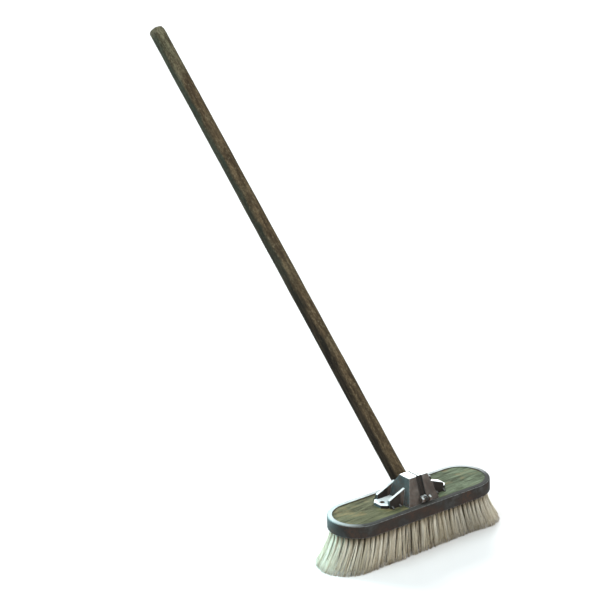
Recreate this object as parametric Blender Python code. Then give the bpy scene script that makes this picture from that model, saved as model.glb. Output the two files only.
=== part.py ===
"""Push broom: a wooden block in a steel rim, bristles set in rings, and a round handle held by a split socket.

Metres, +Z up. The origin is on the floor, under the middle of the block, where the bristle tips end.
+X runs along the block, and the handle leans back towards +Y.
"""

import itertools
import math

import bmesh
import bpy
from mathutils import Matrix, Vector

GAP = 0.0003                      # between pieces that touch
PAST = 0.0020                     # how far a cutter goes past the face it cuts

# Block and rim: both are rounded at the ends, with one centre line of half length HALF_STRAIGHT.
HALF_STRAIGHT = 0.133
RIM_RADIUS = 0.060
RIM_HEIGHT = 0.026
RIM_SHEET = 0.0012
RIM_LIP = 0.010                   # width of the lip that turns in over the wood
RIM_CORNER = 0.0040
RIM_TOP = 0.099                   # above the floor
RIM_BOTTOM = RIM_TOP - RIM_HEIGHT
RIM_BUTT_GAP = 0.0008             # where the strip's two ends meet, at the back
END_STEPS = 16                    # facets in each half-round end

WOOD_RADIUS = RIM_RADIUS - RIM_SHEET - GAP
WOOD_TOP = RIM_TOP - RIM_SHEET - GAP
WOOD_BOTTOM = RIM_BOTTOM + 0.0010

# Bristles.
TUFT_WIDTH = 0.0085
RING_RADII = (0.0500, 0.0375, 0.0250, 0.0125)
FLARE_SIDE = 0.17                 # share by which a ring's radius grows on the way to the floor
FLARE_END = 0.0235                # how far the outer ring's round ends move outwards, too
FLARE_EASE = 1.4                  # power of the height that the spread follows
FLARE_LEVELS = 4
BRISTLE_TOP = WOOD_BOTTOM - GAP

# Handle: its axis meets the plane of the rim's top at HANDLE_Y.
HANDLE_RADIUS = 0.0177
HANDLE_LENGTH = 1.181
HANDLE_TILT = math.radians(46.2)  # from upright
HANDLE_Y = 0.004
HANDLE_SEAT = -0.008              # of the handle's lower end, along the axis from that plane
HANDLE_BEVEL = 0.0020
BORE_RADIUS = HANDLE_RADIUS + 0.00035
BORE_REACH = 0.10                 # of the bore's cutter, up the axis

# Socket housing, with battered sides; heights are above the wood.
BASE = WOOD_TOP + GAP
ROOT_DROP = 0.0020                # how far below BASE the shapes start, before they are cut off level
ROOT = BASE - ROOT_DROP
HOUSING_HEIGHT = 0.0525
TOP_HALF_WIDTH = 0.0238
BASE_HALF_WIDTH = 0.0390
TOP_FRONT, TOP_BACK = -0.0289, 0.0023
BASE_FRONT, BASE_BACK = -0.0475, 0.0427
CORNER = 0.0030                   # rounding of the standing corners
TOP_EDGE_SHARE = 0.5              # of that rounding, on the edges of the top
WALL = 0.0070
BACK_WALL_SHARE = 1.25            # of WALL, because the back slopes the most
SOCKET_WALL = 0.0040
SOCKET_REACH = 0.09               # of the round seat, up the axis, before the housing limits it
SPLIT = 0.0012                    # slit between the two halves
GROOVE_HALF_WIDTH = 0.0070
GROOVE_DEPTH = 0.0034
TOP_GROOVE_DEPTH = 0.0010
GROOVE_FOOT = 0.0150              # height at which the groove ends
FAR = 0.12                        # beyond any part of the bracket

# Flanges and their ribs.
FLANGE_END = 0.0825
FLANGE_HALF_WIDTH = 0.0200
FLANGE_CHAMFER = 0.0090
FLANGE_THICK = 0.0062
RIB_Y = 0.0165                    # inner face of a rib
RIB_THICK = 0.0055
RIB_FOOT = 0.0060                 # how much further out its foot stands
RIB_START, RIB_END = 0.0305, 0.0690
RIB_HIGH, RIB_LOW = 0.0312, 0.0155  # heights at those two places
SPUR_X = (0.0475, 0.0655)
SPUR_THICK = 0.0035
SPUR_REACH = 0.0040
SPUR_HEIGHT, SPUR_TOE = 0.0100, 0.0015

# Clamp screw across the foot of the groove.
CLAMP_Y = -0.0510
CLAMP_Z = RIM_TOP + 0.0092
CLAMP_RADIUS = 0.0025
LUG_RADIUS = 0.0047
LUG_END = 0.0050
LUG_FOOT = 0.0075                 # height of the lug's root in the front wall
LUG_DEPTH = 0.0130                # from the clamp's axis back into that wall
WASHER_RADIUS, WASHER_THICK = 0.0058, 0.0013
HEX_RADIUS = 0.0060               # across the corners of the screw's head and the nut
HEX_START = LUG_END + WASHER_THICK + 2 * GAP  # of the head and the nut, from the middle
HEAD_THICK = 0.0047
NUT_THICK = 0.0042
SCREW_END = 0.0124
OVERLAP = 0.0010                  # of the shank and the head
SHANK_CHAMFER = 0.0010

# Fasteners.
FLANGE_SCREW_X = 0.0702
SCREW_SHANK, SCREW_HEAD = 0.0024, 0.0050
SCREW_CONE = 0.0028               # height of the countersunk head
SCREW_POINT = 0.0060              # length of the point
SCREW_LENGTH = 0.0240
SCREW_SINK = 0.0008               # of the head's top, below the flange's
SCREW_TOP = BASE + FLANGE_THICK - SCREW_SINK
SLOT_WIDTH, SLOT_DEPTH = 0.0012, 0.0013
SLOT_TURN = math.radians(35)
BRAD_SHANK, BRAD_HEAD = 0.0010, 0.0024
BRAD_LENGTH, BRAD_HEAD_THICK = 0.0130, 0.0009
BRAD_SPOTS = (                    # x, height above the rim's bottom
    (-0.120, 0.0125),
    (-0.065, 0.0125),
    (-0.010, 0.0190),
    (-0.010, 0.0070),
    (0.010, 0.0190),
    (0.010, 0.0070),
    (0.065, 0.0125),
    (0.120, 0.0125),
)

MATERIALS = {                     # colour, roughness, metallic
    "board_wood": ((0.17, 0.19, 0.10), 0.75, 0.0),
    "handle_wood": ((0.11, 0.10, 0.065), 0.70, 0.0),
    "rim_steel": ((0.10, 0.09, 0.085), 0.45, 0.8),
    "cast_metal": ((0.20, 0.20, 0.20), 0.42, 0.8),
    "fastener_steel": ((0.16, 0.11, 0.08), 0.60, 0.6),
    "bristle_fibre": ((0.46, 0.42, 0.33), 0.80, 0.0),
}

AXIS_FOOT = Vector((0.0, HANDLE_Y, RIM_TOP))
TO_AXIS = Matrix.Rotation(-HANDLE_TILT, 4, "X")
TO_X = Matrix.Rotation(math.radians(90), 4, "Y")
TO_BACK = Matrix.Rotation(math.radians(-90), 4, "X")


# Scene, materials and objects

def clear_scene():
    for obj in list(bpy.data.objects):
        bpy.data.objects.remove(obj)


def material(name):
    colour, roughness, metallic = MATERIALS[name]
    mat = bpy.data.materials.new(name)
    mat.use_nodes = True
    shader = mat.node_tree.nodes["Principled BSDF"]
    shader.inputs["Base Color"].default_value = (*colour, 1.0)
    shader.inputs["Roughness"].default_value = roughness
    shader.inputs["Metallic"].default_value = metallic
    return mat


def add_object(name, bm, mat=None, place=Matrix.Identity(4), smooth=False):
    bmesh.ops.recalc_face_normals(bm, faces=bm.faces)
    mesh = bpy.data.meshes.new(name)
    bm.to_mesh(mesh)
    bm.free()
    if smooth:
        mesh.shade_smooth()
        mesh.set_sharp_from_angle(angle=math.radians(35))
    obj = bpy.data.objects.new(name, mesh)
    obj.matrix_world = place
    if mat is not None:
        mesh.materials.append(mat)
    bpy.context.scene.collection.objects.link(obj)
    return obj


def helper(name, bm, place=Matrix.Identity(4)):
    """A cutter or a piece for a Boolean, which isn't part of the broom by itself."""
    obj = add_object(name, bm, None, place)
    obj.hide_render = True
    obj.display_type = "WIRE"
    return obj


def boolean(obj, operation, other):
    modifier = obj.modifiers.new(f"{operation.lower()}_{other.name}", "BOOLEAN")
    modifier.operation = operation
    modifier.object = other
    modifier.solver = "EXACT"


# Shapes

def hull(points):
    bm = bmesh.new()
    verts = [bm.verts.new(p) for p in points]
    made = bmesh.ops.convex_hull(bm, input=verts)
    loose = {v for v in made["geom_interior"] if isinstance(v, bmesh.types.BMVert)}
    bmesh.ops.delete(bm, geom=list(loose), context="VERTS")
    bmesh.ops.dissolve_limit(bm, angle_limit=math.radians(0.5), verts=bm.verts, edges=bm.edges)
    return bm


def box(low, high):
    return hull(list(itertools.product(*zip(low, high))))


def prism(outline, low, high):
    bm = bmesh.new()
    base = bm.faces.new([bm.verts.new((x, y, low)) for x, y in outline])
    made = bmesh.ops.extrude_face_region(bm, geom=[base])
    top = [v for v in made["geom"] if isinstance(v, bmesh.types.BMVert)]
    bmesh.ops.translate(bm, verts=top, vec=(0, 0, high - low))
    return bm


def turned(profile, steps):
    """A solid of revolution about Z, from (radius, height) points that start and end on the axis."""
    bm = bmesh.new()
    verts = [bm.verts.new((r, 0, z)) for r, z in profile]
    edges = [bm.edges.new(pair) for pair in zip(verts, verts[1:])]
    bmesh.ops.spin(
        bm, geom=verts + edges, cent=(0, 0, 0), axis=(0, 0, 1), angle=math.tau, steps=steps
    )
    bmesh.ops.remove_doubles(bm, verts=bm.verts, dist=1e-6)
    return bm


def rod(radius, low, high, steps=24):
    return turned([(0, low), (radius, low), (radius, high), (0, high)], steps)


def hexagon(radius):
    return [(radius * math.cos(a), radius * math.sin(a)) for a in (k * math.tau / 6 for k in range(6))]


def end_stations(steps):
    """Stations round the right end and round the left end: the side, and the angle of the outward normal."""
    angles = [math.pi * (k / steps - 0.5) for k in range(steps + 1)]
    return [(1, a) for a in angles], [(-1, a + math.pi) for a in angles]


def outline_point(half_straight, radius, station):
    side, angle = station
    return side * half_straight + radius * math.cos(angle), radius * math.sin(angle)


def stadium(half_straight, radius, steps=END_STEPS):
    right, left = end_stations(steps)
    return [outline_point(half_straight, radius, station) for station in right + left]


def bridge(bm, loops):
    """Faces between each closed loop of vertices and the next one."""
    for first, second in zip(loops, loops[1:]):
        count = len(first)
        for k in range(count):
            n = (k + 1) % count
            bm.faces.new((first[k], first[n], second[n], second[k]))


# Block and rim

def rim_profile():
    """The rim's section as (radius, height) points: a wall, a rounded corner, and a lip turned in."""
    corner = [
        (
            RIM_RADIUS - RIM_CORNER + RIM_CORNER * math.cos(a),
            RIM_TOP - RIM_CORNER + RIM_CORNER * math.sin(a),
        )
        for a in (math.radians(d) for d in (0, 30, 60, 90))
    ]
    inner = [
        (RIM_RADIUS - RIM_LIP, RIM_TOP),
        (RIM_RADIUS - RIM_LIP, RIM_TOP - RIM_SHEET),
        (RIM_RADIUS - RIM_SHEET, RIM_TOP - RIM_SHEET),
        (RIM_RADIUS - RIM_SHEET, RIM_BOTTOM),
    ]
    return [(RIM_RADIUS, RIM_BOTTOM)] + corner + inner


def rim_band(steel):
    """One steel strip of that section, bent round the block, with its ends meeting at the back."""
    profile = rim_profile()
    end = RIM_BUTT_GAP / 2
    right, left = end_stations(END_STEPS)
    bm = bmesh.new()
    sections = [[bm.verts.new((-end, r, z)) for r, z in profile]]
    for station in left + right:
        points = [(*outline_point(HALF_STRAIGHT, r, station), z) for r, z in profile]
        sections.append([bm.verts.new(point) for point in points])
    sections.append([bm.verts.new((end, r, z)) for r, z in profile])
    bridge(bm, sections)
    bm.faces.new(sections[0])
    bm.faces.new(list(reversed(sections[-1])))
    band = add_object("rim_band", bm, steel)
    for cutter in brad_cutters("rim"):
        boolean(band, "DIFFERENCE", cutter)
    return band


def brad_place(x, height):
    return Matrix.Translation((x, RIM_RADIUS, RIM_BOTTOM + height)) @ TO_BACK


def brad_cutters(name):
    cutters = []
    for k, (x, height) in enumerate(BRAD_SPOTS):
        hole = rod(BRAD_SHANK + GAP, -BRAD_LENGTH - GAP, PAST, 8)
        cutters.append(helper(f"{name}_brad_hole_{k}", hole, brad_place(x, height)))
    return cutters


def brads(steel):
    for k, (x, height) in enumerate(BRAD_SPOTS):
        profile = [
            (0, -BRAD_LENGTH),
            (BRAD_SHANK, -BRAD_LENGTH + 2 * BRAD_SHANK),
            (BRAD_SHANK, GAP),
            (BRAD_HEAD, GAP),
            (BRAD_HEAD * 0.75, GAP + BRAD_HEAD_THICK * 0.8),
            (0, GAP + BRAD_HEAD_THICK),
        ]
        add_object(f"rim_brad_{k + 1}", turned(profile, 12), steel, brad_place(x, height), True)


def on_axis():
    """Matrix that lays local Z along the handle's axis."""
    return Matrix.Translation(AXIS_FOOT) @ TO_AXIS


def handle_bore(name):
    """A cutter for the handle's seat, from a little below the handle's end."""
    return helper(name, rod(BORE_RADIUS, HANDLE_SEAT - GAP, BORE_REACH, 40), on_axis())


def at_flange_screw(side):
    return Matrix.Translation((side * FLANGE_SCREW_X, 0, 0))


def block(wood):
    bm = prism(stadium(HALF_STRAIGHT, WOOD_RADIUS), WOOD_BOTTOM, WOOD_TOP)
    stock = add_object("block", bm, wood)
    boolean(stock, "DIFFERENCE", handle_bore("block_bore"))
    for side in (-1, 1):
        hole = rod(SCREW_SHANK + GAP, SCREW_TOP - SCREW_LENGTH - GAP, WOOD_TOP + PAST, 12)
        boolean(stock, "DIFFERENCE", helper(f"block_screw_hole_{side}", hole, at_flange_screw(side)))
    for cutter in brad_cutters("block"):
        boolean(stock, "DIFFERENCE", cutter)
    return stock


# Bristles

def flare(fraction, radius, half_straight):
    """Radius and half length of a ring's outline, at a fraction of the way down to the floor."""
    eased = fraction**FLARE_EASE
    wider = radius * (1 + FLARE_SIDE * eased)
    longer = half_straight + FLARE_END * eased * radius / RING_RADII[0]
    return wider, longer


def bristle_wall(inner, outer, steps):
    """The shape that one ring of tufts fills: a wall round the block, spreading on its way down."""
    bm = bmesh.new()
    rings = []
    for radius, order in ((outer, range(FLARE_LEVELS)), (inner, reversed(range(FLARE_LEVELS)))):
        for level in order:
            fraction = level / (FLARE_LEVELS - 1)
            wider, longer = flare(fraction, radius, HALF_STRAIGHT)
            z = BRISTLE_TOP * (1 - fraction)
            rings.append([bm.verts.new((x, y, z)) for x, y in stadium(longer, wider, steps)])
    bridge(bm, rings + rings[:1])
    return bm


def bristles(fibre):
    for k, radius in enumerate(RING_RADII):
        inner, outer = radius - TUFT_WIDTH / 2, radius + TUFT_WIDTH / 2
        steps = END_STEPS if k < 2 else END_STEPS // 2
        add_object(f"bristle_ring_{k + 1}", bristle_wall(inner, outer, steps), fibre, smooth=True)
    row = prism(stadium(HALF_STRAIGHT, TUFT_WIDTH / 2, END_STEPS // 2), 0, BRISTLE_TOP)
    add_object("bristle_row_centre", row, fibre, smooth=True)


# Socket housing, in two mirrored halves

def housing_points(inset=0.0, drop=0.0):
    """Corners of the battered housing; inset moves its walls in, and drop carries them on below the base."""
    low = -drop
    high = HOUSING_HEIGHT - inset

    def between(at_top, at_base, height):
        return at_base + (at_top - at_base) * height / HOUSING_HEIGHT

    points = []
    for height in (low, high):
        half = between(TOP_HALF_WIDTH, BASE_HALF_WIDTH, height) - inset
        front = between(TOP_FRONT, BASE_FRONT, height) + inset
        back = between(TOP_BACK, BASE_BACK, height) - inset * BACK_WALL_SHARE
        points += [(x, y, BASE + height) for x in (-half, half) for y in (front, back)]
    return points


def housing_solid(name, mat=None):
    """The whole housing as a solid body, with its standing corners and its top edges rounded."""
    solid = add_object(name, hull(housing_points(drop=ROOT_DROP)), mat)
    bevel = solid.modifiers.new("corner", "BEVEL")
    bevel.width = CORNER
    bevel.segments = 2
    bevel.limit_method = "WEIGHT"
    weights = solid.data.attributes.new("bevel_weight_edge", "FLOAT", "EDGE")
    middle = BASE + HOUSING_HEIGHT / 2
    for edge in solid.data.edges:
        heights = [solid.data.vertices[i].co.z for i in edge.vertices]
        if min(heights) > middle:
            weights.data[edge.index].value = TOP_EDGE_SHARE
        elif max(heights) > middle:
            weights.data[edge.index].value = 1.0
    return solid


def socket(side):
    """The round seat that grips the handle, inside the housing."""
    seat = rod(BORE_RADIUS + SOCKET_WALL, HANDLE_SEAT, SOCKET_REACH, 32)
    tube = helper(f"socket_{side}", seat, on_axis())
    inside = helper(f"socket_limit_{side}", hull(housing_points(WALL / 4, ROOT_DROP)))
    boolean(tube, "INTERSECT", inside)
    return tube


def flange(side):
    inner = TOP_HALF_WIDTH
    cut = FLANGE_END - FLANGE_CHAMFER
    half = FLANGE_HALF_WIDTH
    outline = [
        (inner, -half),
        (cut, -half),
        (FLANGE_END, -half + FLANGE_CHAMFER),
        (FLANGE_END, half - FLANGE_CHAMFER),
        (cut, half),
        (inner, half),
    ]
    mirrored = [(side * x, y) for x, y in outline]
    return helper(f"flange_{side}", prism(mirrored, ROOT, BASE + FLANGE_THICK))


def rib(side, way):
    """A rib that falls from the housing to the flange's end, on its front (way -1) or back (way 1) edge."""
    start = TOP_HALF_WIDTH
    slope = (RIB_HIGH - RIB_LOW) / (RIB_END - RIB_START)
    peak = RIB_LOW + slope * (RIB_END - start)
    inner, outer, foot = RIB_Y, RIB_Y + RIB_THICK, RIB_Y + RIB_THICK + RIB_FOOT
    points = []
    for x, height in ((start, peak), (RIB_END, RIB_LOW)):
        for y, z in ((inner, ROOT), (foot, ROOT), (inner, BASE + height), (outer, BASE + height)):
            points.append((side * x, way * y, z))
    return helper(f"rib_{side}_{way}", hull(points))


def spur(side, way, x):
    """A small wedge against the foot of a rib."""
    inner = RIB_Y + RIB_THICK / 2
    foot = RIB_Y + RIB_THICK + RIB_FOOT + SPUR_REACH
    points = []
    for edge in (x - SPUR_THICK / 2, x + SPUR_THICK / 2):
        for y, z in ((inner, ROOT), (foot, ROOT), (inner, BASE + SPUR_HEIGHT), (foot, BASE + SPUR_TOE)):
            points.append((side * edge, way * y, z))
    return helper(f"spur_{side}_{way}_{x}", hull(points))


def lug(side):
    """Half of the clamp: an eye on the foot of the groove, which the clamp screw goes through."""
    points = []
    for x in (0.0, LUG_END):
        for k in range(16):
            a = k * math.tau / 16
            y, z = CLAMP_Y + LUG_RADIUS * math.cos(a), CLAMP_Z + LUG_RADIUS * math.sin(a)
            points.append((side * x, y, z))
        for z in (BASE + LUG_FOOT, CLAMP_Z + LUG_RADIUS):
            points.append((side * x, CLAMP_Y + LUG_DEPTH, z))
    return helper(f"lug_{side}", hull(points))


def front_slope():
    """Matrix that lays local Z up the middle of the front face, with local -Y pointing out of it."""
    lean = math.atan2(TOP_FRONT - BASE_FRONT, HOUSING_HEIGHT)
    return Matrix.Translation((0, BASE_FRONT, BASE)) @ Matrix.Rotation(-lean, 4, "X")


def groove_cutters(side):
    half = GROOVE_HALF_WIDTH
    top_floor = BASE + HOUSING_HEIGHT - TOP_GROOVE_DEPTH
    front = box((-half, -FAR, GROOVE_FOOT), (half, GROOVE_DEPTH, FAR))
    top = box((-half, -FAR, top_floor), (half, FAR, top_floor + FAR))
    return helper(f"groove_front_{side}", front, front_slope()), helper(f"groove_top_{side}", top)


def countersink(side):
    """A cutter for a flange's screw hole, with room for the screw's head."""
    top = BASE + FLANGE_THICK + PAST
    narrow, wide = SCREW_SHANK + GAP, SCREW_HEAD + GAP
    profile = [
        (0, ROOT),
        (narrow, ROOT),
        (narrow, SCREW_TOP - SCREW_CONE),
        (wide, SCREW_TOP),
        (wide, top),
        (0, top),
    ]
    return helper(f"countersink_{side}", turned(profile, 24), at_flange_screw(side))


def bracket_half(side, name, steel):
    half = housing_solid(name, steel)
    boolean(half, "DIFFERENCE", helper(f"hollow_{side}", hull(housing_points(WALL, ROOT_DROP + PAST))))
    boolean(half, "UNION", socket(side))
    boolean(half, "UNION", flange(side))
    for way in (-1, 1):
        boolean(half, "UNION", rib(side, way))
        for x in SPUR_X:
            boolean(half, "UNION", spur(side, way, x))
    boolean(half, "UNION", lug(side))
    for cutter in groove_cutters(side):
        boolean(half, "DIFFERENCE", cutter)
    boolean(half, "DIFFERENCE", handle_bore(f"bracket_bore_{side}"))
    lug_hole = rod(CLAMP_RADIUS + GAP, -LUG_END - PAST, LUG_END + PAST, 16)
    boolean(half, "DIFFERENCE", helper(f"lug_hole_{side}", lug_hole, at_clamp()))
    boolean(half, "DIFFERENCE", countersink(side))
    near, far = sorted((side * SPLIT / 2, side * FAR))
    room = box((near, -FAR, BASE), (far, FAR, BASE + FAR))
    boolean(half, "INTERSECT", helper(f"room_{side}", room))


# Fasteners

def flange_screw(side, name, steel):
    """A countersunk wood screw with a slotted head."""
    tip = SCREW_TOP - SCREW_LENGTH
    profile = [
        (0, tip),
        (SCREW_SHANK, tip + SCREW_POINT),
        (SCREW_SHANK, SCREW_TOP - SCREW_CONE),
        (SCREW_HEAD, SCREW_TOP),
        (0, SCREW_TOP),
    ]
    screw = add_object(name, turned(profile, 20), steel, at_flange_screw(side))
    reach, half = SCREW_HEAD + PAST, SLOT_WIDTH / 2
    slot = box((-reach, -half, SCREW_TOP - SLOT_DEPTH), (reach, half, SCREW_TOP + PAST))
    place = at_flange_screw(side) @ Matrix.Rotation(side * SLOT_TURN, 4, "Z")
    boolean(screw, "DIFFERENCE", helper(f"screw_slot_{side}", slot, place))


def at_clamp():
    """Matrix that lays local Z along the clamp screw, towards +X."""
    return Matrix.Translation((0, CLAMP_Y, CLAMP_Z)) @ TO_X


def clamp_screw(steel):
    """The hexagon-head screw through both lugs; its head is on the left."""
    head = prism(hexagon(HEX_RADIUS), -HEX_START - HEAD_THICK, -HEX_START)
    screw = add_object("clamp_screw", head, steel, at_clamp())
    profile = [
        (0, -HEX_START - OVERLAP),
        (CLAMP_RADIUS, -HEX_START - OVERLAP),
        (CLAMP_RADIUS, SCREW_END - SHANK_CHAMFER),
        (CLAMP_RADIUS - SHANK_CHAMFER, SCREW_END),
        (0, SCREW_END),
    ]
    boolean(screw, "UNION", helper("clamp_shank", turned(profile, 16), at_clamp()))


def clamp_nut(steel):
    end = HEX_START + NUT_THICK
    nut = add_object("clamp_nut", prism(hexagon(HEX_RADIUS), HEX_START, end), steel, at_clamp())
    hole = rod(CLAMP_RADIUS + GAP, HEX_START - PAST, end + PAST, 16)
    boolean(nut, "DIFFERENCE", helper("nut_hole", hole, at_clamp()))


def clamp_washer(side, name, steel):
    low, high = sorted((side * (LUG_END + GAP), side * (LUG_END + GAP + WASHER_THICK)))
    washer = add_object(name, rod(WASHER_RADIUS, low, high, 20), steel, at_clamp())
    hole = rod(CLAMP_RADIUS + GAP, low - PAST, high + PAST, 16)
    boolean(washer, "DIFFERENCE", helper(f"{name}_hole", hole, at_clamp()))


# Handle

def handle(wood):
    top = HANDLE_SEAT + HANDLE_LENGTH
    profile = [
        (0, HANDLE_SEAT),
        (HANDLE_RADIUS - HANDLE_BEVEL, HANDLE_SEAT),
        (HANDLE_RADIUS, HANDLE_SEAT + HANDLE_BEVEL),
        (HANDLE_RADIUS, top - HANDLE_BEVEL),
        (HANDLE_RADIUS - HANDLE_BEVEL, top),
        (0, top),
    ]
    add_object("handle", turned(profile, 36), wood, on_axis(), True)


def main():
    clear_scene()
    rusty = material("fastener_steel")
    cast = material("cast_metal")

    block(material("board_wood"))
    rim_band(material("rim_steel"))
    brads(rusty)
    bristles(material("bristle_fibre"))
    bracket_half(-1, "bracket_left", cast)
    bracket_half(1, "bracket_right", cast)
    flange_screw(-1, "flange_screw_left", rusty)
    flange_screw(1, "flange_screw_right", rusty)
    clamp_screw(rusty)
    clamp_nut(rusty)
    clamp_washer(-1, "clamp_washer_left", rusty)
    clamp_washer(1, "clamp_washer_right", rusty)
    handle(material("handle_wood"))


main()
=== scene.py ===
import math

import bpy
import numpy as np
from mathutils import Matrix, Vector, noise

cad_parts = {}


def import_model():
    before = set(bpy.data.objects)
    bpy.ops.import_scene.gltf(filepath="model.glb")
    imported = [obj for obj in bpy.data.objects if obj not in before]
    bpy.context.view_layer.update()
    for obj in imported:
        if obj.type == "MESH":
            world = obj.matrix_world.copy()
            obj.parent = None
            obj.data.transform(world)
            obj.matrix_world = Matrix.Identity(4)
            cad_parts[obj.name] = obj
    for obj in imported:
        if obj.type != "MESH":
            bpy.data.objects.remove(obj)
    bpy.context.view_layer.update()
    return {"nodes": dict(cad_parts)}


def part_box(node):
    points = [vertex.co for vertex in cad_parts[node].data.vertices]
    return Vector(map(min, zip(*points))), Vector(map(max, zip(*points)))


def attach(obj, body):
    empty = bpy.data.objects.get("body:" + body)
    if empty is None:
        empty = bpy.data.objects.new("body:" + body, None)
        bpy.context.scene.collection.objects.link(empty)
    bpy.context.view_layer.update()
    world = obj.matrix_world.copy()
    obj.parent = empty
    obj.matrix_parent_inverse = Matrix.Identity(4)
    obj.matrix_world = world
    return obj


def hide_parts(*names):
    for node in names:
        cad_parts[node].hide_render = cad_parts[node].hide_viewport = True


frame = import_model()

SEED = 11

# Camera, in metres and degrees. Azimuth 0 looks along +Y, with +X to the right.
CAMERA_TARGET = Vector((-0.2524, 0.0, 0.5738))
CAMERA_DISTANCE = 3.978
CAMERA_AZIMUTH = -35.696
CAMERA_ELEVATION = 19.671
CAMERA_ROLL = -2.118
CAMERA_LENS = 128.2

# Studio
SUNS = (                          # name, azimuth, elevation, width in degrees, strength, colour
    ("key_left", -92, 50, 40, 1.0, (0.75, 0.96, 1.0)),
    ("rim_light_behind", 148, 28, 26, 2.3, (0.98, 0.99, 1.0)),
    ("front_fill", 8, 34, 50, 1.4, (1.0, 0.97, 0.94)),
    ("overhead", -120, 78, 50, 1.2, (0.93, 1.0, 1.0)),
)
SUN_DISTANCE = 4.0
END_LIGHT_PLACE = Vector((-0.380, 0.510, 0.20))
END_LIGHT_AIM = Vector((-0.205, 0.0, 0.06))
FLOOR_HALF = 30.0
FLOOR_COLOUR = (0.86, 0.85, 0.85)
SURROUND = (                      # height on a unit sphere, and the colour there
    (0.06, (1.0, 1.0, 1.0)),
    (0.15, (0.275, 0.284, 0.290)),
)

# Bristle rows. Each ring runs round the block's centre line, whose half length is HALF_STRAIGHT.
HALF_STRAIGHT = 0.133
RING_RADII = (0.0500, 0.0375, 0.0250, 0.0125)
ROOT_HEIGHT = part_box("bristle_ring_1")[1].z
BRISTLES_PER_TUFT = {
    "bristle_ring_1": 34,
    "bristle_ring_2": 22,
    "bristle_ring_3": 16,
    "bristle_ring_4": 12,
    "bristle_row_centre": 12,
}
FLARE_END_LEFT = 0.0275           # how far the outer ring's left end moves outwards on its way down
FLARE_END_RIGHT = 0.0175
FLARE_SIDES = (                   # x, and the share by which a ring's radius grows there
    (-0.170, 0.22),
    (-0.065, 0.21),
    (0.040, 0.13),
    (0.100, 0.10),
    (0.165, 0.26),
)
FLARE_EASE = 1.4                  # the power of the way down that the rings' growth follows

# Tufts. TUFT_LEAN, TUFT_KINK and the spreads are standard deviations.
TUFT_PITCH = 0.0110
TUFT_RADIUS = 0.0022
TUFT_FAN = 0.0056                 # how far the bristles at a tuft's edge spread sideways
TUFT_LEAN = 0.0016
TUFT_KINK = 0.0012
TUFT_TONE = 0.74                  # of the outer ring, from 0, dark, to 1, pale
TUFT_TONE_SPREAD = 0.09
INNER_RING_SHADE = 0.26               # painted shade, taken off the tone for each of the first two rings further in
CLUMPS_PER_TUFT = 6
CLUMP_SPREADS = (0.21, 0.0013, 0.0008)  # tone, bow and outward push

# Single bristles. BRISTLE_STRAY, BRISTLE_BOW, BRISTLE_SHORTER and the spread are standard deviations.
BRISTLE_RADIUS = 0.00042
BRISTLE_TIP_SHARE = 0.55          # of that radius, at the floor
BRISTLE_SIDES = 3
BRISTLE_LEVELS = 6
BRISTLE_STRAY = 0.0009
BRISTLE_BOW = 0.0004
BRISTLE_SHORTER = 0.010           # share of the length
BRISTLE_TONE_SPREAD = 0.10
BOW_TURN = 2.6                    # how much of a sine wave a bow follows, in radians
OUTWARD_LIGHT = 0.10                # painted light: tone of a tuft's outward side
EDGE_SHADE = 0.32                # painted shade: tone of a tuft's two edges

# Handle
HANDLE_RADIUS = 0.0177
HANDLE_LENGTH = 1.181
HANDLE_TILT = math.radians(46.2)
HANDLE_FOOT = Vector((0.0, 0.004, 0.099))
HANDLE_SEAT = -0.008              # its lower end, along its axis from HANDLE_FOOT
HANDLE_ROUNDING = 0.0050
HANDLE_SIDES = 56
HANDLE_RINGS = 190
WEAR_ALONG = 14.0                 # units of the wear's noise in a metre; across, its radius is one unit
HOLLOW_SCALE = 0.9
HOLLOW_DEPTH = 0.0011
DENT_SCALE = 4.0
DENT_DEPTH = 0.00035
CHIP_SCALE_ACROSS = 2.2
CHIP_SCALE_ALONG = 90.0           # in a metre
CHIP_LEAST = 0.05                 # of the noise, where chips start
CHIP_DEPTH = 0.0030
CHIPPED_LENGTH = 0.012            # at the upper end
SHADED_SIDE = (-0.815, 0.580, 0.0)  # the handle's lower left side, where painted shade lies, in its own frame

# Widths of the CAD pieces' rounded edges
BRACKET_EDGE = 0.0006
BLOCK_EDGE = 0.0003
FASTENER_EDGE = 0.00025

# Colours that several metals share
OLD_FILM = (0.018, 0.016, 0.014)
# Colour of painted shade in crevices, grooves and on the front of the rim's lip
SHADE_COLOUR = (0.018, 0.014, 0.011)


# Objects and node trees

def add_object(name, data):
    obj = bpy.data.objects.new(name, data)
    bpy.context.scene.collection.objects.link(obj)
    return obj


def new_material(name, roughness, metallic=0.0, specular=0.5, colour=None):
    """A material with plain values, which hold where its nodes don't set them."""
    mat = bpy.data.materials.new(name)
    mat.use_nodes = True
    shader = mat.node_tree.nodes["Principled BSDF"]
    shader.inputs["Roughness"].default_value = roughness
    shader.inputs["Metallic"].default_value = metallic
    shader.inputs["Specular IOR Level"].default_value = specular
    if colour is not None:
        shader.inputs["Base Color"].default_value = (*colour, 1.0)
    return mat


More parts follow.
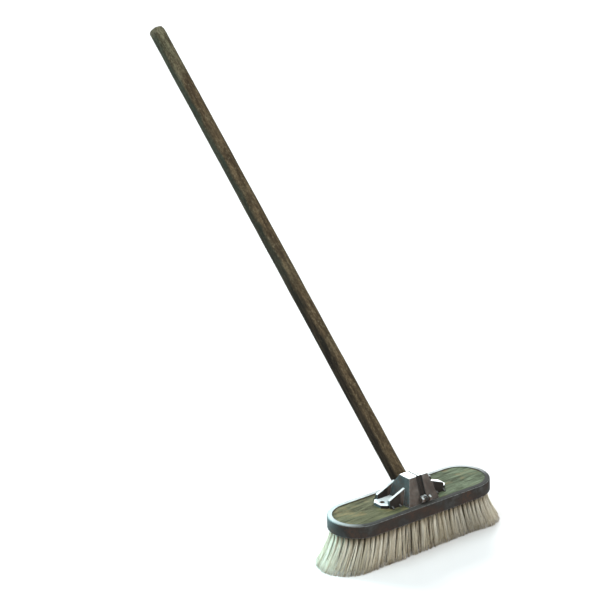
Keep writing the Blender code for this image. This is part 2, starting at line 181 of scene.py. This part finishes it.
class Tree:
    """Short calls for the nodes that the materials share."""

    def __init__(self, mat):
        self.tree = mat.node_tree
        self.shader = self.tree.nodes["Principled BSDF"]
        self.place = self.tree.nodes.new("ShaderNodeTexCoord").outputs["Object"]

    def node(self, kind, **values):
        made = self.tree.nodes.new(kind)
        for name, value in values.items():
            setattr(made, name, value)
        return made

    def link(self, source, target):
        self.tree.links.new(source, target)

    def fill(self, socket, value):
        """Links a value that another node makes, or sets a plain number or colour."""
        if isinstance(value, tuple):
            socket.default_value = (*value, 1.0)
        elif isinstance(value, float):
            socket.default_value = value
        else:
            self.link(value, socket)

    def noise(self, scale, detail=4.0, rough=0.55, distortion=0.0, per_axis=None):
        """A noise over the object, with its scale multiplied along each axis by per_axis."""
        vector = self.place
        if per_axis is not None:
            mapping = self.node("ShaderNodeMapping")
            mapping.inputs["Scale"].default_value = per_axis
            self.link(vector, mapping.inputs["Vector"])
            vector = mapping.outputs["Vector"]
        made = self.node("ShaderNodeTexNoise")
        made.inputs["Scale"].default_value = scale
        made.inputs["Detail"].default_value = detail
        made.inputs["Roughness"].default_value = rough
        made.inputs["Distortion"].default_value = distortion
        self.link(vector, made.inputs["Vector"])
        return made.outputs["Fac"]

    def ramp(self, value, stops):
        made = self.node("ShaderNodeValToRGB")
        ramp = made.color_ramp
        while len(ramp.elements) < len(stops):
            ramp.elements.new(0.5)
        for element, (position, colour) in zip(ramp.elements, stops):
            element.position = position
            element.color = (*colour, 1.0)
        self.link(value, made.inputs["Fac"])
        return made.outputs["Color"]

    def steps(self, value, low, high, to_low=0.0, to_high=1.0):
        """Goes evenly from to_low to to_high while the value goes from low to high."""
        made = self.node("ShaderNodeMapRange", clamp=True)
        made.inputs["From Min"].default_value = low
        made.inputs["From Max"].default_value = high
        made.inputs["To Min"].default_value = to_low
        made.inputs["To Max"].default_value = to_high
        self.link(value, made.inputs["Value"])
        return made.outputs["Result"]

    def waver(self, value, amount):
        """Turns a noise into an offset of up to that amount either way."""
        return self.steps(value, 0.3, 0.7, -amount, amount)

    def mix(self, factor, first, second, blend="MIX"):
        made = self.node("ShaderNodeMix", data_type="RGBA", blend_type=blend)
        for index, value in ((0, factor), (6, first), (7, second)):
            self.fill(made.inputs[index], value)
        return made.outputs[2]

    def maths(self, operation, first, second=0.0):
        made = self.node("ShaderNodeMath", operation=operation)
        self.fill(made.inputs[0], first)
        self.fill(made.inputs[1], second)
        return made.outputs[0]

    def plus(self, first, second):
        return self.maths("ADD", first, second)

    def minus(self, first, second):
        return self.maths("SUBTRACT", first, second)

    def times(self, first, second):
        return self.maths("MULTIPLY", first, second)

    def size(self, value):
        """The value without its sign."""
        return self.maths("ABSOLUTE", value)

    def most(self, first, *others):
        """The greatest of the values."""
        for value in others:
            first = self.maths("MAXIMUM", first, value)
        return first

    def part(self, axis):
        """The X, Y or Z of a point of the object, in metres."""
        made = self.node("ShaderNodeSeparateXYZ")
        self.link(self.place, made.inputs[0])
        return made.outputs[axis]

    def bump(self, height, distance, strength, under=None):
        made = self.node("ShaderNodeBump")
        made.inputs["Distance"].default_value = distance
        made.inputs["Strength"].default_value = strength
        self.link(height, made.inputs["Height"])
        if under is not None:
            self.link(under, made.inputs["Normal"])
        return made.outputs["Normal"]

    def edges(self, width):
        """1 on the object's worn edges and 0 on its flats."""
        rounded = self.node("ShaderNodeBevel", samples=4)
        rounded.inputs["Radius"].default_value = width
        plain = self.node("ShaderNodeNewGeometry").outputs["Normal"]
        dot = self.node("ShaderNodeVectorMath", operation="DOT_PRODUCT")
        self.link(rounded.outputs["Normal"], dot.inputs[0])
        self.link(plain, dot.inputs[1])
        return self.steps(self.minus(1.0, dot.outputs["Value"]), 0.02, 0.30)

    def facing(self, direction):
        """How far the surface faces a direction in the object's frame, from -1 to 1."""
        normal = self.node("ShaderNodeTexCoord").outputs["Normal"]
        dot = self.node("ShaderNodeVectorMath", operation="DOT_PRODUCT")
        dot.inputs[1].default_value = direction
        self.link(normal, dot.inputs[0])
        return dot.outputs["Value"]

    def crevices(self, reach):
        """1 in the object's crevices and 0 on its open surfaces."""
        open_share = self.node("ShaderNodeAmbientOcclusion", samples=8)
        open_share.inputs["Distance"].default_value = reach
        return self.minus(1.0, open_share.outputs["AO"])

    def finish(self, colour, roughness, normal):
        self.link(colour, self.shader.inputs["Base Color"])
        self.link(roughness, self.shader.inputs["Roughness"])
        self.link(normal, self.shader.inputs["Normal"])


# Wood

def darker_by_rim(t, patches):
    """Darkening on the board next to the rim's lip, by the distance from the block's centre line."""
    beyond = t.most(t.minus(t.size(t.part("X")), HALF_STRAIGHT), 0.0)
    across = t.part("Y")
    from_line = t.maths("SQRT", t.plus(t.times(beyond, beyond), t.times(across, across)))
    return t.steps(t.plus(from_line, t.waver(patches, 0.003)), 0.0468, 0.0500, 0.0, 0.80)


def board_wood():
    """Olive weathered board: grain along X, yellower on the left, greener on the right, darker next to the
    rim's lip, and painted shade in crevices.
    """
    mat = new_material("board_wood_weathered", roughness=0.8, specular=0.25)
    t = Tree(mat)
    bands = t.noise(13.0, detail=6.0, rough=0.70, distortion=1.2, per_axis=(1.0, 7.0, 7.0))
    fibres = t.noise(26.0, rough=0.6, distortion=0.3, per_axis=(1.0, 20.0, 20.0))
    patches = t.noise(26.0, per_axis=(1.0, 1.6, 1.0))
    right = t.steps(t.plus(t.part("X"), t.waver(patches, 0.05)), -0.09, 0.06)
    dark = t.mix(right, (0.032, 0.029, 0.013), (0.040, 0.047, 0.025))
    light = t.mix(right, (0.142, 0.144, 0.070), (0.158, 0.208, 0.124))
    grained = t.mix(t.steps(bands, 0.36, 0.64), dark, light)
    tanned = t.mix(t.steps(patches, 0.55, 0.70, 0.0, 0.45), grained, (0.300, 0.215, 0.090))
    cracked = t.mix(t.steps(fibres, 0.41, 0.31, 0.0, 0.6), tanned, (0.040, 0.030, 0.014))
    # Darker next to the rim's lip, and painted shade in crevices by the bracket.
    darkening = t.most(darker_by_rim(t, patches), t.steps(t.crevices(0.006), 0.55, 0.98))
    darkened = t.mix(darkening, cracked, (0.050, 0.034, 0.016))
    normal = t.bump(fibres, 0.0010, 0.7, t.bump(bands, 0.0012, 0.6))
    t.finish(darkened, t.steps(bands, 0.3, 0.7, 0.92, 0.7), normal)
    return mat


def pole_wood():
    """Weathered pole: mottled grain along local Z, painted shade along its lower left side, greyer and
    greener at the top.
    """
    mat = new_material("pole_wood_weathered", roughness=0.75, specular=0.15)
    t = Tree(mat)
    grain = t.noise(130.0, detail=6.0, rough=0.70, distortion=0.2, per_axis=(1.0, 1.0, 0.10))
    fibres = t.noise(520.0, detail=3.0, rough=0.6, per_axis=(1.0, 1.0, 0.05))
    mottle = t.noise(85.0, detail=5.0, rough=0.65, distortion=0.1, per_axis=(1.0, 1.0, 0.24))
    patches = t.noise(13.0, detail=3.0, rough=0.5, per_axis=(1.0, 1.0, 0.5))
    speck = t.noise(260.0, detail=3.0, rough=0.65, per_axis=(1.0, 1.0, 0.6))
    along = t.part("Z")
    height = t.plus(along, t.steps(patches, 0.35, 0.65, -0.10, 0.10))

    greyer = t.steps(height, 0.98, 1.10)
    dark = t.mix(greyer, (0.042, 0.028, 0.014), (0.070, 0.064, 0.036))
    light = t.mix(greyer, (0.140, 0.098, 0.053), (0.180, 0.168, 0.104))
    grained = t.mix(t.steps(grain, 0.38, 0.64), dark, light)
    blotched = t.mix(t.steps(mottle, 0.50, 0.38, 0.0, 0.7), grained, (0.032, 0.021, 0.011))
    bleached = t.mix(t.steps(patches, 0.54, 0.66, 0.0, 0.30), blotched, (0.190, 0.160, 0.095))
    cracked = t.mix(t.steps(fibres, 0.42, 0.30, 0.0, 0.6), bleached, (0.014, 0.010, 0.006))

    # The painted shade reaches further round low down, and is thin on the grain and along its own middle.
    towards = t.facing(SHADED_SIDE)
    wavering = t.plus(t.waver(mottle, 0.30), t.steps(patches, 0.4, 0.6, -0.12, 0.12))
    high = t.steps(height, 0.38, 0.86)
    reach = t.plus(t.plus(towards, wavering), t.steps(high, 0.0, 1.0, 0.20, -0.06))
    spared = t.times(t.steps(grain, 0.40, 0.62, 1.0, 0.82), t.steps(towards, 0.86, 0.98, 1.0, 0.50))
    amount = t.times(t.steps(reach, 0.05, 0.50, 0.0, 0.95), spared)
    shaded = t.mix(amount, cracked, t.mix(high, (0.005, 0.004, 0.003), (0.028, 0.040, 0.029)))

    end = t.steps(t.plus(along, t.waver(mottle, 0.006)), 1.158, 1.170, 0.0, 0.55)
    worn = t.mix(end, shaded, (0.170, 0.155, 0.105))
    speckled = t.mix(t.steps(speck, 0.52, 0.36, 0.0, 0.60), worn, (0.024, 0.018, 0.011))
    dust = t.times(t.steps(speck, 0.56, 0.70, 0.0, 0.45), t.steps(reach, 0.15, 0.50, 1.0, 0.25))
    patched = t.mix(dust, speckled, (0.215, 0.185, 0.120))
    normal = t.bump(fibres, 0.0006, 0.6, t.bump(grain, 0.0012, 0.6))
    t.finish(patched, t.steps(grain, 0.3, 0.7, 0.9, 0.62), normal)
    return mat


# Metal

def aged_steel(name, faces, ends, top, sheen_from, rust, rust_share, roughness, painted_shade=None):
    """Dull steel: one colour on its faces and one on its ends, painted light and shade by facing, rust,
    rubbed edges, a painted highlight on tops, and painted shade in crevices.

    The pair after top says how far up a surface faces, from 0 to 1, where the painted highlight on tops
    starts and where it is full.
    The function given last, where there is one, adds painted shade in places of its own.
    """
    mat = new_material(name, roughness=0.5, metallic=0.6, specular=0.3)
    t = Tree(mat)
    mottle = t.noise(42.0, detail=6.0, rough=0.6)
    speck = t.noise(260.0, rough=0.6)
    blotch = t.noise(18.0, rough=0.6, distortion=0.3)

    # Surfaces facing along X take the ends colour and the rest the faces colour: painted light and shade by
    # facing.
    painted_side_light = t.mix(t.steps(t.size(t.facing((1, 0, 0))), 0.55, 0.80), faces, ends)
    scuffed = t.mix(t.steps(blotch, 0.46, 0.30, 0.0, 0.10), painted_side_light, top)
    metal = t.mix(t.steps(mottle, 0.40, 0.62, 0.0, 0.60), scuffed, OLD_FILM)
    rusty = t.times(t.times(t.steps(blotch, 0.42, 0.62), t.steps(speck, 0.36, 0.56)), rust_share)

    # Rubbed edges, as wear, and up-facing tops, as a painted highlight, take the top colour.
    edge = t.times(t.edges(0.0016), t.steps(speck, 0.34, 0.52, 0.1, 0.6))
    upward = t.steps(t.facing((0, 0, 1)), *sheen_from)
    rubbed_edges_and_sheen = t.most(edge, t.times(upward, t.steps(mottle, 0.28, 0.45, 0.55, 1.0)))

    # Crevices darken as painted shade, less on up-facing tops.
    in_crevices = t.steps(t.crevices(0.010), 0.30, 0.90, 0.0, 0.85)
    darkening = t.times(in_crevices, t.steps(upward, 0.0, 1.0, 1.0, 0.15))
    if painted_shade is not None:
        darkening = t.most(darkening, painted_shade(t, mottle, upward))

    colour = t.mix(darkening, t.mix(rubbed_edges_and_sheen, t.mix(rusty, metal, rust), top), SHADE_COLOUR)
    metallic = t.times(t.steps(rubbed_edges_and_sheen, 0.0, 1.0, 0.15, 0.30), t.minus(1.0, darkening))
    t.link(metallic, t.shader.inputs["Metallic"])
    smooth = t.minus(t.steps(mottle, 0.3, 0.7, roughness, roughness + 0.16), t.times(rubbed_edges_and_sheen, 0.04))
    rough = t.plus(smooth, t.times(t.most(rusty, darkening), 0.35))
    normal = t.bump(speck, 0.00025, 0.5, t.bump(mottle, 0.0006, 0.35))
    t.finish(colour, rough, normal)
    return mat


def bracket_shade(t, mottle, upward):
    """Painted shade in the bracket's groove and seam, on its clamp lugs, and on the sides and feet of its
    ribs.
    """
    off_middle = t.plus(t.size(t.part("X")), t.waver(mottle, 0.0006))
    groove = t.times(t.steps(off_middle, 0.0088, 0.0074, 0.0, 0.9), t.minus(1.0, upward))
    seam = t.steps(off_middle, 0.0028, 0.0014, 0.0, 0.75)
    lugs = t.times(t.steps(off_middle, 0.0062, 0.0056, 0.0, 0.9), t.steps(t.part("Y"), -0.0470, -0.0480))
    along_y = t.steps(t.size(t.facing((0, 1, 0))), 0.35, 0.65)
    sides_and_feet = t.most(along_y, t.steps(t.size(t.part("Y")), 0.0222, 0.0230, 0.0, 0.9))
    outboard = t.steps(off_middle, 0.0395, 0.0450, 0.0, 0.97)
    return t.most(groove, seam, lugs, t.times(sides_and_feet, outboard))


def lip_shade(t, mottle, upward):
    """Painted shade over the front of the rim's lip, but not on its back, and little on its left end."""
    back = t.steps(t.plus(t.part("Y"), t.waver(mottle, 0.008)), -0.030, 0.020, 0.9, 0.0)
    left = t.steps(t.part("X"), -0.182, -0.155, 0.2, 1.0)
    return t.times(t.steps(upward, 0.0, 0.35), t.times(back, left))


def rim_steel():
    return aged_steel(
        "rim_steel_rusted",
        # The faces and ends colours differ as painted light and shade; top is the painted highlight on the
        # lip, and the colour of rubbed edges.
        faces=(0.019, 0.015, 0.012),
        ends=(0.012, 0.015, 0.014),
        top=(0.410, 0.445, 0.440),
        sheen_from=(0.70, 0.92),
        rust=(0.062, 0.036, 0.026),
        rust_share=0.90,
        roughness=0.58,
        painted_shade=lip_shade,
    )


def cast_metal():
    return aged_steel(
        "cast_metal_worn",
        # The faces and ends colours differ as painted light and shade; top is the painted highlight on the
        # bracket's tops, and the colour of rubbed edges.
        faces=(0.108, 0.093, 0.081),
        ends=(0.062, 0.100, 0.104),
        top=(0.900, 0.960, 0.960),
        sheen_from=(0.60, 0.92),
        rust=(0.085, 0.052, 0.038),
        rust_share=0.75,
        roughness=0.42,
        painted_shade=bracket_shade,
    )


def fastener_steel():
    return aged_steel(
        "fastener_steel_rusted",
        # Top is the painted highlight on the tops of the head and nut, and the colour of rubbed edges.
        faces=(0.090, 0.060, 0.043),
        ends=(0.100, 0.080, 0.066),
        top=(0.700, 0.770, 0.770),
        sheen_from=(0.70, 0.90),
        rust=(0.090, 0.040, 0.022),
        rust_share=0.85,
        roughness=0.42,
    )


def rusted_screw():
    return aged_steel(
        "rusted_screw_heads",
        faces=(0.070, 0.045, 0.032),
        ends=(0.070, 0.045, 0.032),
        top=(0.085, 0.052, 0.036),
        sheen_from=(0.70, 0.92),
        rust=(0.075, 0.034, 0.020),
        rust_share=0.9,
        roughness=0.6,
    )


# Bristle fibre

def bristle_fibre():
    """Cream fibre: a tone for each bristle, painted shade at the roots, darker tips, and a stretch on the
    right made duller as painted shade.
    """
    mat = new_material("bristle_fibre_worn", roughness=0.62)
    t = Tree(mat)
    tone = t.node("ShaderNodeAttribute", attribute_name="tone").outputs["Fac"]
    down = t.node("ShaderNodeAttribute", attribute_name="down").outputs["Fac"]
    base = t.ramp(
        tone,
        (
            (0.0, (0.170, 0.122, 0.074)),
            (0.3, (0.480, 0.405, 0.295)),
            (0.6, (0.810, 0.745, 0.590)),
            (1.0, (0.945, 0.905, 0.790)),
        ),
    )
    # Painted shade at the roots under the rim, and darker tips, by how far down a point is.
    shade = t.ramp(
        down,
        (
            (0.03, (0.18, 0.13, 0.10)),
            (0.14, (0.66, 0.60, 0.52)),
            (0.30, (1.0, 1.0, 1.0)),
            (0.70, (0.93, 0.92, 0.89)),
            (0.92, (0.84, 0.81, 0.75)),
            (1.0, (0.52, 0.46, 0.38)),
        ),
    )
    # Painted shade over a stretch on the right, where the rings flare least.
    across = t.part("X")
    patched = t.times(t.steps(across, 0.040, 0.085), t.steps(across, 0.170, 0.130))
    dulled = t.mix(t.times(patched, 0.28), base, (0.200, 0.175, 0.135))
    colour = t.mix(1.0, dulled, shade, "MULTIPLY")
    fibres = t.noise(600.0, detail=2.0, per_axis=(1.0, 1.0, 0.25))
    t.finish(colour, t.steps(tone, 0.0, 1.0, 0.75, 0.5), t.bump(fibres, 0.0001, 0.3))
    return mat


# Bristles

def outline_point(fraction, radius):
    """A point that share of the way round the block's outline, at that radius, and its outward direction."""
    straight, arc = 2 * HALF_STRAIGHT, math.pi * radius
    along = fraction * 2 * (straight + arc)
    for side, turn in ((1, -math.pi / 2), (-1, math.pi / 2)):
        if along < straight:
            x = side * (along - HALF_STRAIGHT)
            return Vector((x, -side * radius, 0)), Vector((0, -side, 0))
        along -= straight
        if along < arc:
            angle = turn + math.pi * along / arc
            out = Vector((math.cos(angle), math.sin(angle), 0))
            return Vector((side * HALF_STRAIGHT, 0, 0)) + out * radius, out
        along -= arc
    return Vector((-HALF_STRAIGHT, -radius, 0)), Vector((0, -1, 0))


def flared(root, fraction):
    """Where a bristle that starts at root stands, that fraction of the way down."""
    eased = fraction**FLARE_EASE
    x_on_line = max(-HALF_STRAIGHT, min(HALF_STRAIGHT, root.x))
    spoke = Vector((root.x - x_on_line, root.y))
    reach = spoke.length / RING_RADII[0]
    end = FLARE_END_RIGHT if root.x > 0 else FLARE_END_LEFT
    side = np.interp(root.x, *zip(*FLARE_SIDES))
    x = x_on_line * (1 + end * eased * reach / HALF_STRAIGHT)
    return x + spoke.x * (1 + side * eased), spoke.y * (1 + side * eased)


def tuft_roots(ring):
    """The root and outward direction of every tuft in a ring, or in the straight row along the middle."""
    if ring == len(RING_RADII):
        count = round(2 * HALF_STRAIGHT / TUFT_PITCH)
        out = Vector((0, 1, 0))
        return [(Vector((2 * HALF_STRAIGHT * (k / count - 0.5), 0, 0)), out) for k in range(count + 1)]
    radius = RING_RADII[ring]
    count = round((4 * HALF_STRAIGHT + math.tau * radius) / TUFT_PITCH)
    return [outline_point((k + 0.5 * (ring % 2)) / count, radius) for k in range(count)]


def bristle_paths(ring, per_tuft, rng):
    """Points of every bristle of a ring, as an array of shape (bristles, levels, 3), and each one's tone."""
    paths, tones = [], []
    fractions = np.linspace(0, 1, BRISTLE_LEVELS)
    for root, out in tuft_roots(ring):
        side = Vector((-out.y, out.x, 0))
        lean = rng.normal(0, TUFT_LEAN)
        kink = rng.normal(0, TUFT_KINK)
        tuft_tone = rng.normal(TUFT_TONE - INNER_RING_SHADE * min(ring, 2), TUFT_TONE_SPREAD)
        clumps = rng.normal(0, CLUMP_SPREADS, (CLUMPS_PER_TUFT, 3))
        for _ in range(per_tuft):
            turn = rng.uniform(0, math.tau)
            from_middle = math.sqrt(rng.uniform(0, 1)) * TUFT_RADIUS
            across, outward = math.cos(turn) * from_middle, math.sin(turn) * from_middle
            start = root + side * across + out * outward
            sideways_share, outward_share = across / TUFT_RADIUS, outward / TUFT_RADIUS
            clump = int((sideways_share + 1) / 2 * CLUMPS_PER_TUFT)
            clump_tone, clump_bow, clump_push = clumps[min(CLUMPS_PER_TUFT - 1, clump)]
            fan = sideways_share * TUFT_FAN + rng.normal(0, BRISTLE_STRAY)
            bow = clump_bow + rng.normal(0, BRISTLE_BOW)
            push = clump_push + rng.normal(0, BRISTLE_STRAY)
            length = 1 - abs(rng.normal(0, BRISTLE_SHORTER))
            points = []
            for fraction in fractions:
                x, y = flared(start, fraction)
                sideways = (lean + fan) * fraction + kink * math.sin(math.pi * fraction)
                sideways += bow * math.sin(BOW_TURN * fraction)
                x += side.x * sideways + out.x * push * fraction
                y += side.y * sideways + out.y * push * fraction
                points.append((x, y, ROOT_HEIGHT * (1 - fraction * length)))
            paths.append(points)
            # Painted light on each tuft's outward side and painted shade on its two edges.
            tone = tuft_tone + clump_tone + OUTWARD_LIGHT * outward_share - EDGE_SHADE * sideways_share**2
            tones.append(min(1.0, max(0.0, tone + rng.normal(0, BRISTLE_TONE_SPREAD))))
    return np.array(paths), np.array(tones)


def keep_values(mesh, name, values):
    """Keeps one number for each vertex, which the material reads by that name."""
    attribute = mesh.attributes.new(name, "FLOAT", "POINT")
    attribute.data.foreach_set("value", values.astype(np.float32))


def strands(name, paths, tones, material):
    """One mesh of tapered strands, one along each path. Points keep their tone and how far down they are."""
    count, levels, _ = paths.shape
    sides = BRISTLE_SIDES
    radii = BRISTLE_RADIUS * np.linspace(1.0, BRISTLE_TIP_SHARE, levels)
    angles = np.arange(sides) * math.tau / sides
    ring = np.stack((np.cos(angles), np.sin(angles), np.zeros(sides)), axis=1)
    verts = paths[:, :, None, :] + ring[None, None] * radii[None, :, None, None]

    starts = np.arange(count) * levels * sides
    around = np.arange(sides)
    levels_start = starts[:, None, None] + (np.arange(levels - 1) * sides)[None, :, None]
    first = levels_start + around
    second = levels_start + (around + 1) % sides
    walls = np.stack((first, second, second + sides, first + sides), axis=-1).reshape(-1, 4)
    tips = starts[:, None] + (levels - 1) * sides + around
    roots = starts[:, None] + around[::-1]

    mesh = bpy.data.meshes.new(name)
    mesh.from_pydata(verts.reshape(-1, 3).tolist(), [], walls.tolist() + tips.tolist() + roots.tolist())
    keep_values(mesh, "tone", np.repeat(tones, levels * sides))
    keep_values(mesh, "down", np.tile(np.repeat(np.linspace(0, 1, levels), sides), count))
    mesh.shade_smooth()
    mesh.materials.append(material)
    return add_object(name, mesh)


def bristles(fibre):
    """Replaces each bristle ring, and the row along the middle, with strands."""
    rng = np.random.default_rng(SEED)
    for ring, (node, per_tuft) in enumerate(BRISTLES_PER_TUFT.items()):
        paths, tones = bristle_paths(ring, per_tuft, rng)
        piece = strands(node.replace("bristle", "tufts"), paths, tones, fibre)
        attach(piece, "head")
        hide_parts(node)


# Handle

def pole_radius(along):
    """The pole's radius at a distance from its lower end: straight, with rounded ends."""
    near_end = min(along, HANDLE_LENGTH - along)
    if near_end >= HANDLE_ROUNDING:
        return HANDLE_RADIUS
    drop = HANDLE_ROUNDING - near_end
    return HANDLE_RADIUS - HANDLE_ROUNDING + math.sqrt(HANDLE_ROUNDING**2 - drop**2)


def pole_levels():
    """Distances of the pole's rings from its lower end: close together where the ends are rounded."""
    close = [HANDLE_ROUNDING * (1 - math.cos(math.radians(a))) for a in range(0, 90, 12)]
    even = np.linspace(HANDLE_ROUNDING, HANDLE_LENGTH - HANDLE_ROUNDING, HANDLE_RINGS)
    return [*close, *even, *(HANDLE_LENGTH - c for c in reversed(close))]


def pole_point(along, angle):
    """A point on the worn pole, in its own frame, with shallow hollows and dents, and chips near the top."""
    spot = Vector((math.cos(angle), math.sin(angle), along * WEAR_ALONG))
    hollow = HOLLOW_DEPTH * (0.5 + 0.5 * noise.noise(spot * HOLLOW_SCALE))
    dent = DENT_DEPTH * abs(noise.noise(spot * DENT_SCALE))
    chip_spot = Vector((spot.x * CHIP_SCALE_ACROSS, spot.y * CHIP_SCALE_ACROSS, along * CHIP_SCALE_ALONG))
    chip = CHIP_DEPTH * max(0.0, noise.noise(chip_spot) - CHIP_LEAST)
    near_top = max(0.0, 1 - (HANDLE_LENGTH - along) / CHIPPED_LENGTH)
    radius = pole_radius(along) - (hollow + dent) - chip * near_top
    return radius * math.cos(angle), radius * math.sin(angle), along


def pole(wood):
    """The weathered handle, a closed mesh in its own frame, laid along the handle's axis."""
    sides = HANDLE_SIDES
    levels = pole_levels()
    verts = [pole_point(along, k * math.tau / sides) for along in levels for k in range(sides)]
    faces = []
    for level in range(len(levels) - 1):
        for k in range(sides):
            low, low_next = level * sides + k, level * sides + (k + 1) % sides
            faces.append((low, low_next, low_next + sides, low + sides))
    faces.append(list(range(sides - 1, -1, -1)))
    faces.append([(len(levels) - 1) * sides + k for k in range(sides)])
    mesh = bpy.data.meshes.new("pole_weathered")
    mesh.from_pydata(verts, [], faces)
    mesh.shade_smooth()
    mesh.set_sharp_from_angle(angle=math.radians(50))
    mesh.materials.append(wood)
    obj = add_object("pole_weathered", mesh)
    axis = Vector((0.0, math.sin(HANDLE_TILT), math.cos(HANDLE_TILT)))
    obj.location = HANDLE_FOOT + axis * HANDLE_SEAT
    obj.rotation_euler = (-HANDLE_TILT, 0.0, 0.0)
    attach(obj, "pole")
    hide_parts("handle")


# CAD pieces

def welding():
    """A node group that joins a CAD mesh's separate faces and shades them smooth."""
    group = bpy.data.node_groups.new("weld_faces", "GeometryNodeTree")
    group.interface.new_socket("Geometry", in_out="INPUT", socket_type="NodeSocketGeometry")
    group.interface.new_socket("Geometry", in_out="OUTPUT", socket_type="NodeSocketGeometry")
    chain = [group.nodes.new("NodeGroupInput")]
    for attribute in ("custom_normal", "sharp_edge", "sharp_face"):
        forget = group.nodes.new("GeometryNodeRemoveAttribute")
        forget.inputs["Name"].default_value = attribute
        chain.append(forget)
    weld = group.nodes.new("GeometryNodeMergeByDistance")
    weld.inputs["Distance"].default_value = 0.00001
    chain += [weld, group.nodes.new("GeometryNodeSetShadeSmooth"), group.nodes.new("NodeGroupOutput")]
    for first, second in zip(chain, chain[1:]):
        group.links.new(first.outputs["Geometry"], second.inputs["Geometry"])
    return group


def soften(nodes, weld, width, angle=35):
    """Joins each node's facets, and rounds the edges that turn by more than the angle a little."""
    for name in nodes:
        obj = frame["nodes"][name]
        joined = obj.modifiers.new("joined", "NODES")
        joined.node_group = weld
        flat = obj.modifiers.new("flat_faces", "DECIMATE")
        flat.decimate_type = "DISSOLVE"
        flat.angle_limit = math.radians(0.5)
        bevel = obj.modifiers.new("worn_edges", "BEVEL")
        bevel.width = width
        bevel.segments = 2
        bevel.limit_method = "ANGLE"
        bevel.angle_limit = math.radians(angle)
        bevel.harden_normals = True


def paint(nodes, material):
    """Gives CAD nodes a material."""
    for name in nodes:
        for slot in frame["nodes"][name].material_slots:
            slot.material = material


def dress_cad():
    """Paints the CAD nodes that show, and softens their edges."""
    brackets = ["bracket_left", "bracket_right"]
    clamp = ["clamp_screw", "clamp_nut"]
    small = [n for n in frame["nodes"] if n.startswith(("rim_brad", "flange_screw", "clamp_washer"))]
    paint(["block"], board_wood())
    paint(["rim_band"], rim_steel())
    paint(brackets, cast_metal())
    paint(clamp, fastener_steel())
    paint(small, rusted_screw())
    weld = welding()
    soften(brackets, weld, BRACKET_EDGE, angle=20)
    soften(["rim_band", "block"], weld, BLOCK_EDGE)
    soften(clamp + small, weld, FASTENER_EDGE)


# Stage

def from_angles(azimuth, elevation):
    """A unit vector, from an azimuth and an elevation in degrees."""
    azimuth, elevation = math.radians(azimuth), math.radians(elevation)
    level = math.cos(elevation)
    return Vector((math.sin(azimuth) * level, -math.cos(azimuth) * level, math.sin(elevation)))


def floor():
    """A pale floor, so wide that its edge is close to the horizon."""
    mesh = bpy.data.meshes.new("studio_floor")
    corners = [(x * FLOOR_HALF, y * FLOOR_HALF, 0) for x, y in ((-1, -1), (1, -1), (1, 1), (-1, 1))]
    mesh.from_pydata(corners, [], [(0, 1, 2, 3)])
    mesh.materials.append(new_material("studio_floor", roughness=0.9, colour=FLOOR_COLOUR))
    add_object("studio_floor", mesh)


def soft_sun(name, azimuth, elevation, width, strength, colour):
    """A distant lamp, placed by azimuth and elevation as the camera is."""
    away = from_angles(azimuth, elevation)
    lamp = bpy.data.lights.new(name, "SUN")
    lamp.angle = math.radians(width)
    lamp.energy = strength
    lamp.color = colour
    obj = add_object(name, lamp)
    obj.location = away * SUN_DISTANCE
    obj.rotation_euler = away.to_track_quat("Z", "Y").to_euler()


def end_light():
    """A small cool lamp, low behind the block's left end, that edges it and its bristles."""
    lamp = bpy.data.lights.new("end_light_left", "SPOT")
    lamp.energy = 27.0
    lamp.color = (0.52, 0.95, 1.0)
    lamp.spot_size = math.radians(30)
    lamp.spot_blend = 0.6
    lamp.shadow_soft_size = 0.08
    obj = add_object("end_light_left", lamp)
    obj.location = END_LIGHT_PLACE
    obj.rotation_euler = (END_LIGHT_AIM - END_LIGHT_PLACE).to_track_quat("-Z", "Y").to_euler()
    obj.visible_camera = False


def world():
    """A surround that is white to just above the horizon, where the floor ends, and dim further up."""
    scene_world = bpy.data.worlds.new("studio")
    scene_world.use_nodes = True
    tree = scene_world.node_tree
    view = tree.nodes.new("ShaderNodeTexCoord").outputs["Generated"]
    parts = tree.nodes.new("ShaderNodeSeparateXYZ")
    tree.links.new(view, parts.inputs[0])
    ramp = tree.nodes.new("ShaderNodeValToRGB")
    tree.links.new(parts.outputs["Z"], ramp.inputs["Fac"])
    for element, (height, colour) in zip(ramp.color_ramp.elements, SURROUND):
        element.position = height
        element.color = (*colour, 1.0)
    tree.links.new(ramp.outputs["Color"], tree.nodes["Background"].inputs["Color"])
    bpy.context.scene.world = scene_world


def camera():
    """The camera at the photograph's viewing angle."""
    turn, roll = math.radians(CAMERA_AZIMUTH), math.radians(CAMERA_ROLL)
    away = from_angles(CAMERA_AZIMUTH, CAMERA_ELEVATION)
    right = Vector((math.cos(turn), math.sin(turn), 0))
    up = away.cross(right)
    rolled_right = right * math.cos(roll) + up * math.sin(roll)
    rolled_up = up * math.cos(roll) - right * math.sin(roll)
    lens = bpy.data.cameras.new("camera")
    lens.sensor_width = 36.0
    lens.lens = CAMERA_LENS
    lens.clip_start, lens.clip_end = 0.1, 100.0
    obj = add_object("camera", lens)
    facing = Matrix((rolled_right, rolled_up, away)).transposed().to_4x4()
    obj.matrix_world = Matrix.Translation(CAMERA_TARGET + away * CAMERA_DISTANCE) @ facing
    bpy.context.scene.camera = obj


camera()
world()
floor()
for sun in SUNS:
    soft_sun(*sun)
end_light()
bpy.context.scene.view_settings.view_transform = "Standard"

dress_cad()
pole(pole_wood())
bristles(bristle_fibre())
